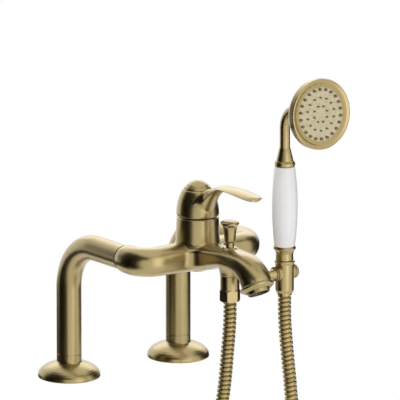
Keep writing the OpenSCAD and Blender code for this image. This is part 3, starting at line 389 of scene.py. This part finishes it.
def between(stations, place):
    """Values of the stations, smoothly changing, at a place given by their first value."""
    for i in range(len(stations) - 1):
        if place <= stations[i + 1][0]:
            t = (place - stations[i][0]) / (stations[i + 1][0] - stations[i][0])
            return [curve(a, b, c, d, t) for a, b, c, d in zip(*around(stations, i))]
    return list(stations[-1])


def arm_rings():
    """Rings of the two arms, from the left inlet round to the right one."""
    elbow_x = inlet_x - elbow_radius
    elbow_y = column_reach - elbow_radius
    path = [(-inlet_x, -inlet_start - on, 0, inlet_radius - slimmer) for on, slimmer in inlet_lip]
    path.append((-inlet_x, -elbow_y, 0, inlet_radius))
    for degrees in range(elbow_step, 90 + elbow_step, elbow_step):
        a = math.radians(degrees)
        path.append((-elbow_x - elbow_radius * math.cos(a), -elbow_y - elbow_radius * math.sin(a), degrees,
                     inlet_radius))
    rings = []
    for x, y, degrees, radius in path:
        a = math.radians(degrees)
        middle = Vector((x, y, pipe_height))
        out = Vector((-math.cos(a), -math.sin(a), 0))
        outline = section(radius, radius, arm_stations[-1][3] * degrees / 90)
        rings.append([middle + p * out + q * Vector((0, 0, 1)) for p, q in outline])
    for i in range(1, arm_steps + 1):
        share = 1 - i / arm_steps
        depth, height, flat = between(arm_stations, share)[1:]
        outline = section(inlet_radius + depth * (arm_depth - inlet_radius),
                          inlet_radius + height * (arm_height - inlet_radius), flat)
        rings.append([Vector((-share * elbow_x, -column_reach - p, pipe_height + q)) for p, q in outline])
    mirrored = [[Vector((-p.x, p.y, p.z)) for p in ring] for ring in reversed(rings[:-1])]
    return rings + mirrored


turned_sides = 96
# The share of an edge, and the length, that a rounded corner takes up at most
corner_share = 0.45
corner_reach = 2.2


def lathe(profile, place, closed=False):
    """Surface turned from radius and height pairs, carried to its place by a matrix."""
    angles = [2 * math.pi * k / turned_sides for k in range(turned_sides)]
    rings = [[place @ Vector((r * math.cos(a), r * math.sin(a), z)) for a in angles] for r, z in profile]
    if closed:
        rings.append(rings[0])
    return skin(rings, not closed)


def rounded(profile, bends=3):
    """Profile with each inner corner cut to a short curve."""
    line = [profile[0]]
    for a, b, c in zip(profile, profile[1:], profile[2:]):
        a, b, c = Vector(a), Vector(b), Vector(c)
        back = min(corner_share * (a - b).length, corner_reach)
        on = min(corner_share * (c - b).length, corner_reach)
        p = b + (a - b).normalized() * back
        q = b + (c - b).normalized() * on
        for k in range(bends + 1):
            t = k / bends
            line.append(tuple((1 - t) ** 2 * p + 2 * t * (1 - t) * b + t * t * q))
    line.append(profile[-1])
    return line


column = Matrix.Translation((0, -column_reach, 0))
# Belly, flare and column, then the chamfered top and the pocket over the cartridge
column_outside = [(0.1, 138.9), (9, 139), (16.7, 142.8), (22.3, 151), (26, 161), (26.6, 168), (26.2, 170.4),
                  (24.5, 172.4), (24.2, 178), (23.3, 200)]
column_profile = rounded(column_outside) + [(21.8, 201.5), (19.7, 201.5), (19.7, 190), (0.1, 190)]
# The fillet at the spout's foot, the depth at which it starts inside the arms, and its height there
foot_fillet = 13.6
foot_depth = 1.05
foot_height = 16.2
foot_steps = 10
# Reach, middle height, half width, half height, flatness of the faces, lean of the section
spout_stations = [(172, 160.3, 17.5, 14.1, 1, 0), (180, 162.2, 17.5, 13, 0.95, 0),
                  (190, 164, 17.5, 11.8, 0.9, 0), (200, 165, 17.5, 11, 0.8, 2),
                  (214.3, 164.5, 17.1, 11.6, 0.6, 12), (228, 162.6, 17.1, 13, 0.4, 28),
                  (239.8, 157.1, 17.1, 14.8, 0.2, 43), (247.4, 149.4, 17.1, 16.4, 0.1, 54),
                  (251, 141, 17, 17, 0, 60)]
spout_steps = 6


def spout_ring(reach, height, half_width, half_height, flat, lean):
    """One ring across the spout."""
    a = math.radians(lean)
    return [Vector((p, -reach - q * math.sin(a), height + q * math.cos(a)))
            for p, q in section(half_width, half_height, flat)]


def rings_through(stations, steps, ring):
    """Rings from the stations' values, with that many steps from each station to the next."""
    rings = []
    for a, b in zip(stations, stations[1:]):
        rings += [ring(*between(stations, a[0] + (b[0] - a[0]) * k / steps)) for k in range(steps)]
    rings.append(ring(*stations[-1]))
    return rings


def arm_front(height):
    """Depth of the arms' front at a height above or below their middle."""
    return arm_depth * cut_flat(face_bulge * math.sqrt(1 - (height / arm_height) ** 2))


def spout_rings():
    """Rings of the spout: the fillet out of the arms' front, then the stations to the mouth."""
    first_height, first_width, first_thickness = spout_stations[0][1:4]
    rings = []
    for i in range(foot_steps + 1):
        a = math.radians(90 * i / foot_steps)
        share = 1 - math.cos(a)
        outline = section(first_width + foot_fillet * (1 - math.sin(a)),
                          foot_height + share * (first_thickness - foot_height), 1)
        middle = pipe_height + share * (first_height - pipe_height)
        reach = column_reach + (foot_fillet + foot_depth) * share - foot_depth
        rings.append([Vector((p, -reach - arm_front(q) - share * (arm_depth - arm_front(q)), middle + q))
                      for p, q in outline])
    return rings + rings_through(spout_stations, spout_steps, spout_ring)


mouth_reach, mouth_height = spout_stations[-1][:2]
mouth_turn = Matrix.Rotation(math.radians(spout_stations[-1][5] - 90), 4, "X")
mouth = Matrix.Translation((0, -mouth_reach, mouth_height)) @ mouth_turn
mouth_bead = rounded([(14.1, 6), (14.1, -2.4), (15.8, -2.4), (16.5, -1), (18, -0.6), (19.3, 0.6), (19.3, 2.8),
                      (17.6, 4.2), (16, 5)])
diverter_reach = 200
under_diverter = Matrix.Translation((0, -diverter_reach, 0))
knob_boss = rounded([(8.3, 176), (9.9, 176), (11, 173), (14, 165)])
outlet_boss = rounded([(8.3, 145.5), (10.8, 145.5), (11, 148), (12.2, 153), (14.5, 158), (15, 162)])
swivel_reach = 236
swivel_height = 149
swivel_turn = Matrix.Rotation(math.radians(90), 4, "Y")
swivel = Matrix.Translation((0, -swivel_reach, swivel_height)) @ swivel_turn
swivel_boss = rounded([(7.5, 12), (6.6, 15.4), (4.9, 17), (4.5, 19), (2.2, 19)])


def joined(name, material, *shapes, crease=40):
    """One piece from several shapes in millimetres."""
    vertices = []
    faces = []
    for points, sides in shapes:
        faces += [tuple(len(vertices) + k for k in face) for face in sides]
        vertices += [Vector(p) * MM for p in points]
    return new_piece(name, vertices, faces, material, crease)


casting = joined("casting", aged_brass, skin(arm_rings(), False), lathe(column_profile, column),
                 skin(spout_rings(), False), lathe(mouth_bead, mouth), lathe(knob_boss, under_diverter),
                 lathe(outlet_boss, under_diverter), lathe(swivel_boss, swivel), crease=35)
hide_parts("body_casting", "spout")
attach(casting, "mixer")


# Check valves and the ceramic cartridge: moulded plastic, fired alumina discs and rubber rings.
# A brass nut screws the cartridge down into the column, and a steel stem stands up from it.
plastic_grain = grained(dark=(0.74, 0.73, 0.69), bright=(0.84, 0.83, 0.79), rough=0.48, smooth=0.36,
                        patch=0.006, grit=0.0006, relief=0.00002)
alumina_grain = grained(dark=(0.8, 0.79, 0.75), bright=(0.88, 0.87, 0.84), rough=0.26, smooth=0.16,
                        patch=0.004, grit=0.0004, relief=0.000005)
white_plastic = finish_of("white_plastic", plastic_grain, {})
alumina = finish_of("alumina", alumina_grain, {})
wear(white_plastic, "hot_check_valve", "cold_check_valve", "cartridge_base", "cartridge_housing",
     "lever_carrier")
wear(alumina, "fixed_disc", "moving_disc")
wear(black_rubber, "cartridge_seals")
wear(turned_steel, "lever_pin", "lever_stem", "lever_grub_screw")
wear(aged_brass, "cartridge_nut")


# Lever: a brass casting, a domed hub with a leaf-shaped handle that swells out of its front.
# A grub screw at its back holds it on the cartridge's square stem, and a turned cap closes its top.
hub_rim = 202.4
hub_radius = 23.7
hub_wide = 203.6
hub_top = 241.4
cap_seam = 231.9
seam_radius = hub_radius * math.sqrt(1 - ((cap_seam - hub_wide) / (hub_top - hub_wide)) ** 2)
dome_steps = 12
dome_angle = math.asin((cap_seam - hub_wide) / (hub_top - hub_wide))
dome = [(hub_radius * math.cos(dome_angle * k / dome_steps),
         hub_wide + (hub_top - hub_wide) * math.sin(dome_angle * k / dome_steps)) for k in range(dome_steps)]
# The rim, the dome, the seam under the cap, and the hollow over the cartridge
hub_profile = ([(22.3, hub_rim + 0.3), (22.9, hub_rim), (23.4, hub_rim + 0.4)] + dome
               + [(seam_radius + 0.25, cap_seam - 0.55), (seam_radius - 0.4, cap_seam - 0.2),
                  (6.1, cap_seam - 0.1), (6.1, 223.5), (13, 223.4), (21, 211.4), (22.2, hub_rim + 0.6)])
# Reach from the column, height, half width, half thickness. The first flare out inside the hub.
leaf_stations = [(8, 217, 19.8, 13), (14, 218.2, 17, 13.8), (17, 219.4, 14.4, 14.4), (19, 220.2, 12.8, 14.4),
                 (21, 221.2, 11.5, 14.2), (22.5, 222.2, 10.8, 13.6), (24, 224, 10.2, 12.2),
                 (26, 226.6, 9.6, 10.2), (30, 230.5, 9, 7.7), (36, 235, 8.7, 5.4), (43, 239, 8.9, 4.2),
                 (50.8, 241.3, 9.8, 3.5), (61.9, 242.3, 11.2, 3.2), (76.2, 242.3, 12.5, 3),
                 (91, 241.4, 12.6, 2.8), (100.4, 240.6, 11.8, 2.6), (105.8, 240, 9.6, 2.4),
                 (108.6, 239.6, 6, 1.9)]
leaf_steps = 5
rim_power = 0.5


def leaf_ring(reach, height, half_width, half_height):
    """Lens-shaped ring, with a thin rim at each side."""
    return [Vector((half_width * c, -column_reach - reach, height + half_height * s * abs(s) ** rim_power))
            for c, s in unit_circle]


handle = joined("lever_casting", aged_brass, lathe(hub_profile, column, closed=True),
                skin(rings_through(leaf_stations, leaf_steps, leaf_ring)))
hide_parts("lever")
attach(handle, "lever")
wear(aged_brass, "lever_cap")


# Diverter: a turned knob on a steel rod, pulled up through a bush to send water to the hose.
# Two rubber washers on the rod close one way or the other.
wear(aged_brass, "diverter_bush", "diverter_knob")
wear(turned_steel, "diverter_rod")
wear(black_rubber, "diverter_o_ring", "diverter_washers")


# Hose outlet and mouth: turned brass screwed into the casting, the hose's nut with six flats,
# and an aerator with a dark plastic insert.
dark_grain = grained(dark=(0.035, 0.032, 0.028), bright=(0.06, 0.055, 0.05), rough=0.58, smooth=0.42,
                     patch=0.003, grit=0.0005, relief=0.00002)
dark_plastic = finish_of("dark_plastic", dark_grain, {})
wear(aged_brass, "shower_outlet", "hose_nut", "hose_nut_sleeve", "aerator_shell")
wear(black_rubber, "hose_washer", "aerator_seal")
wear(dark_plastic, "aerator_insert")


# Cradle: a turned brass socket on a friction swivel at the spout's flank, with a domed button.
# A rubber washer on its pin keeps the angle that it is set to.
wear(aged_brass, "holder_arm", "holder", "holder_button")
wear(turned_steel, "holder_pin")
wear(black_rubber, "holder_washer")


# Hand shower: a glazed white handle on a metal water tube, between a flared ferrule and a collar,
# a bent neck, and a spun rose whose plate lets out the nozzles of a soft mat.
glaze = grained(dark=(0.89, 0.88, 0.875), bright=(0.93, 0.92, 0.915), rough=0.15, smooth=0.09,
                patch=0.02, grit=0.012, relief=0.000003)
blasted_metal = grained(dark=(0.5, 0.425, 0.278), bright=(0.645, 0.56, 0.368), rough=0.44, smooth=0.3,
                        patch=0.003, grit=0.0006, relief=0.00002)
soft_grain = grained(dark=(0.12, 0.1, 0.09), bright=(0.2, 0.17, 0.15), rough=0.6, smooth=0.42,
                     patch=0.0015, grit=0.0004, relief=0.00002)
rose_middle = (48 * MM, -301.243 * MM, 339.7 * MM)
field_radius = 29.2 * MM
field_edge = 0.4 * MM


def spray_face(start):
    """Blasted field round the nozzles, and a plain satin rim outside it."""
    field = blasted_metal(start)
    rim = brass_grain(start)
    place = start.node("ShaderNodeTexCoord", {}, {}, "Object")
    reach = start.node("ShaderNodeVectorMath", {"operation": "DISTANCE"}, {0: place, 1: rose_middle}, "Value")
    inside = start.node("ShaderNodeMapRange", {}, {"Value": reach, "From Min": field_radius + field_edge,
                                                   "From Max": field_radius})
    colour = start.node("ShaderNodeMix", {"data_type": "RGBA"},
                        {0: inside, 6: rim["Base Color"], 7: field["Base Color"]}, 2)
    gloss = start.node("ShaderNodeMix", {}, {0: inside, 2: rim["Roughness"], 3: field["Roughness"]})
    return {"Base Color": colour, "Roughness": gloss, "Normal": field["Normal"]}


glazed_white = finish_of("glazed_white", glaze, {"Coat Weight": 0.3})
spray_metal = finish_of("spray_metal", spray_face, {"Metallic": 1})
nozzle_rubber = finish_of("nozzle_rubber", soft_grain, {})
wear(glazed_white, "handset_handle")
wear(aged_brass, "hose_cone", "handset_ferrule", "handset_collar", "handset_neck", "rose_shell", "rose_ring")
wear(turned_steel, "handset_core")
wear(spray_metal, "spray_plate")
wear(nozzle_rubber, "nozzle_mat")
wear(black_rubber, "rose_seal", "coil_tie")


# Studio: a white floor and white air round the mixer, a soft lamp at its front and one behind it.
# Black cards out of the picture draw the dark streaks in the metal.
def plain_surface(start):
    """Nothing changes over the surface."""
    return {}


def seen_white(start):
    """1 for what the camera sees, also in metal and through glass, and 0 for the light on the mixer."""
    rays = ("Is Camera Ray", "Is Glossy Ray", "Is Transmission Ray")
    seen, mirrored, passed = (start.node("ShaderNodeLightPath", {}, {}, ray) for ray in rays)
    return seen + mirrored + passed


white = (1, 1, 1, 1)
floor_grey = (0.8, 0.8, 0.8, 1)
floor_size = 12
floor_gap = 0.001
air_level = 0.8

sweep = bpy.data.materials.new("sweep")
sweep.use_nodes = True
sweep.node_tree.nodes.clear()
sweep_start = Socket(sweep.node_tree)
sweep_light = sweep_start.node("ShaderNodeEmission", {}, {"Color": white, "Strength": 1})
sweep_matt = sweep_start.node("ShaderNodeBsdfDiffuse", {}, {"Color": floor_grey})
sweep_mix = sweep_start.node("ShaderNodeMixShader", {},
                             {0: seen_white(sweep_start), 1: sweep_matt, 2: sweep_light})
sweep_start.node("ShaderNodeOutputMaterial", {}, {"Surface": sweep_mix})


def rectangle(name, width, height, material):
    """Flat sheet round its own middle."""
    w, h = width / 2, height / 2
    return new_piece(name, [(-w, -h, 0), (w, -h, 0), (w, h, 0), (-w, h, 0)], [(0, 1, 2, 3)], material)


floor = rectangle("floor", floor_size, floor_size, sweep)
floor.location.z = cad_low.z - floor_gap
world = bpy.data.worlds.new("studio")
scene.world = world
world.use_nodes = True
world.node_tree.nodes.clear()
air = Socket(world.node_tree)
air_strength = air_level + (1 - air_level) * seen_white(air)
air_light = air.node("ShaderNodeBackground", {}, {"Color": white, "Strength": air_strength})
air.node("ShaderNodeOutputWorld", {}, {"Surface": air_light})
matt_black = {"Base Color": (0.012, 0.011, 0.009, 1), "Roughness": 1, "Specular IOR Level": 0}
black_card = finish_of("black_card", plain_surface, matt_black)
camera_plan = Vector((toward_camera.x, toward_camera.y, 0)).normalized()
camera_right = Vector((-camera_plan.y, camera_plan.x, 0))


def beside(degrees, distance, height):
    """Point round the mixer's middle, by degrees from the camera's side to the right."""
    a = math.radians(degrees)
    return aim + distance * (math.cos(a) * camera_plan + math.sin(a) * camera_right) + Vector((0, 0, height))


def face_mixer(thing, middle):
    """Puts a card or a lamp in its place, unseen itself, and turns it to the mixer."""
    thing.location = middle
    thing.rotation_euler = (middle - aim).to_track_quat("Z", "Y").to_euler()
    thing.visible_camera = False


def card(name, middle, width, height):
    """Black card that shows in the metal and shades nothing."""
    piece = rectangle(name, width, height, black_card)
    face_mixer(piece, middle)
    piece.visible_diffuse = False
    piece.visible_shadow = False


def lamp(name, middle, width, height, power):
    """Soft rectangular lamp."""
    made = bpy.data.objects.new(name, bpy.data.lights.new(name, "AREA"))
    made.data.shape = "RECTANGLE"
    made.data.size = width
    made.data.size_y = height
    made.data.energy = power
    face_mixer(made, middle)
    scene.collection.objects.link(made)


card("left_card", beside(-67, 0.75, 0.25), width=1.4, height=1.5)
card("left_ramp", beside(-67, 0.5, -0.38), width=1.0, height=0.5)
card("brow_card", beside(-12, 0.9, 0.52), width=0.55, height=0.5)
card("right_card", beside(120, 0.75, 0.1), width=0.6, height=1.1)
card("low_left_card", beside(-128, 0.75, -0.38), width=0.5, height=0.28)
card("low_right_card", beside(148, 0.75, -0.3), width=0.4, height=0.4)
lamp("front_lamp", beside(38, 1.0, 0.0), width=0.55, height=0.85, power=1.3)
lamp("back_lamp", beside(180, 1.5, 0.75), width=2.0, height=0.8, power=4.2)
